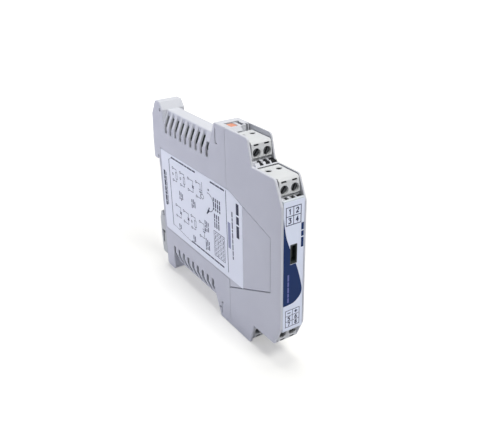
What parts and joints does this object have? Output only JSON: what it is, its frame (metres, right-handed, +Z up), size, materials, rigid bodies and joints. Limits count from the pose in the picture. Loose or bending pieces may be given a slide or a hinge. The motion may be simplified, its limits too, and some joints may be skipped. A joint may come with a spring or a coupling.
{
  "type": "temperature transmitter",
  "caption": "Slim rail-mounted temperature transmitter with stepped plug-in screw terminals, data socket, side label, vented rear and a sprung foot catch.",
  "frame": {"origin": "middle of the rail seat: midway along the width, on the middle line of the 35 mm rail, in the face that rests on the rail", "axes": "+Z up, +Y from the front face back to the rail, X along the rail"},
  "size_m": [0.0126, 0.114, 0.1002],
  "materials": {
    "housing": "fine-grained moulded plastic, light grey",
    "panel": "fine-grained moulded plastic, light grey",
    "front_label": "printed film, satin",
    "side_label": "printed film, satin",
    "catch": "moulded plastic, grey-green",
    "spring_steel": "drawn wire",
    "lever": "moulded plastic, orange",
    "plug": "moulded plastic, white",
    "screw_steel": "zinc-plated",
    "clamp_brass": "nickel-plated",
    "header": "moulded plastic, black",
    "pin_brass": "tin-plated",
    "board": "coated glass-fibre board",
    "socket_body": "moulded plastic, black",
    "ferrite": "ferrite core",
    "chip": "moulded package",
    "capacitor": "moulded package"
  },
  "bodies": {
    "housing": {"base_housing": "housing", "front_housing": "housing", "front_panel": "panel", "front_label": "front_label", "side_label": "side_label", "foot_spring": "spring_steel", "header_top_front": "header", "header_top_rear": "header", "header_bottom_front": "header", "header_bottom_rear": "header", "pins_top_front": "pin_brass", "pins_top_rear": "pin_brass", "pins_bottom_front": "pin_brass", "pins_bottom_rear": "pin_brass", "main_board": "board", "usb_socket": "socket_body", "transformer": "ferrite", "converter_chip": "chip", "logic_chips": "chip", "capacitors": "capacitor"},
    "catch": {"foot_catch": "catch"},
    "lever_top": {"release_lever_top": "lever"},
    "lever_bottom": {"release_lever_bottom": "lever"},
    "terminal_top_front": {"plug_top_front": "plug", "screws_top_front": "screw_steel", "clamps_top_front": "clamp_brass"},
    "terminal_top_rear": {"plug_top_rear": "plug", "screws_top_rear": "screw_steel", "clamps_top_rear": "clamp_brass"},
    "terminal_bottom_front": {"plug_bottom_front": "plug", "screws_bottom_front": "screw_steel", "clamps_bottom_front": "clamp_brass"},
    "terminal_bottom_rear": {"plug_bottom_rear": "plug", "screws_bottom_rear": "screw_steel", "clamps_bottom_rear": "clamp_brass"}
  },
  "joints": [
    {"name": "foot_slide", "type": "slide", "parent": "housing", "child": "catch", "axis": [0, 0, -1], "range_m": [0, 0.003], "stiffness_N_per_m": 600, "springref_m": -0.004, "deforming": ["foot_spring"]},
    {"name": "lever_top_hinge", "type": "hinge", "parent": "housing", "child": "lever_top", "pos_m": [0, -0.0649, 0.0494], "axis": [-1, 0, 0], "range_deg": [0, 30]},
    {"name": "lever_bottom_hinge", "type": "hinge", "parent": "housing", "child": "lever_bottom", "pos_m": [0, -0.0649, -0.0494], "axis": [1, 0, 0], "range_deg": [0, 30]},
    {"name": "unplug_top_front", "type": "slide", "parent": "housing", "child": "terminal_top_front", "axis": [0, -1, 0], "range_m": [0, 0.012]},
    {"name": "unplug_top_rear", "type": "slide", "parent": "housing", "child": "terminal_top_rear", "axis": [0, -1, 0], "range_m": [0, 0.012]},
    {"name": "unplug_bottom_front", "type": "slide", "parent": "housing", "child": "terminal_bottom_front", "axis": [0, -1, 0], "range_m": [0, 0.012]},
    {"name": "unplug_bottom_rear", "type": "slide", "parent": "housing", "child": "terminal_bottom_rear", "axis": [0, -1, 0], "range_m": [0, 0.012]}
  ]
}
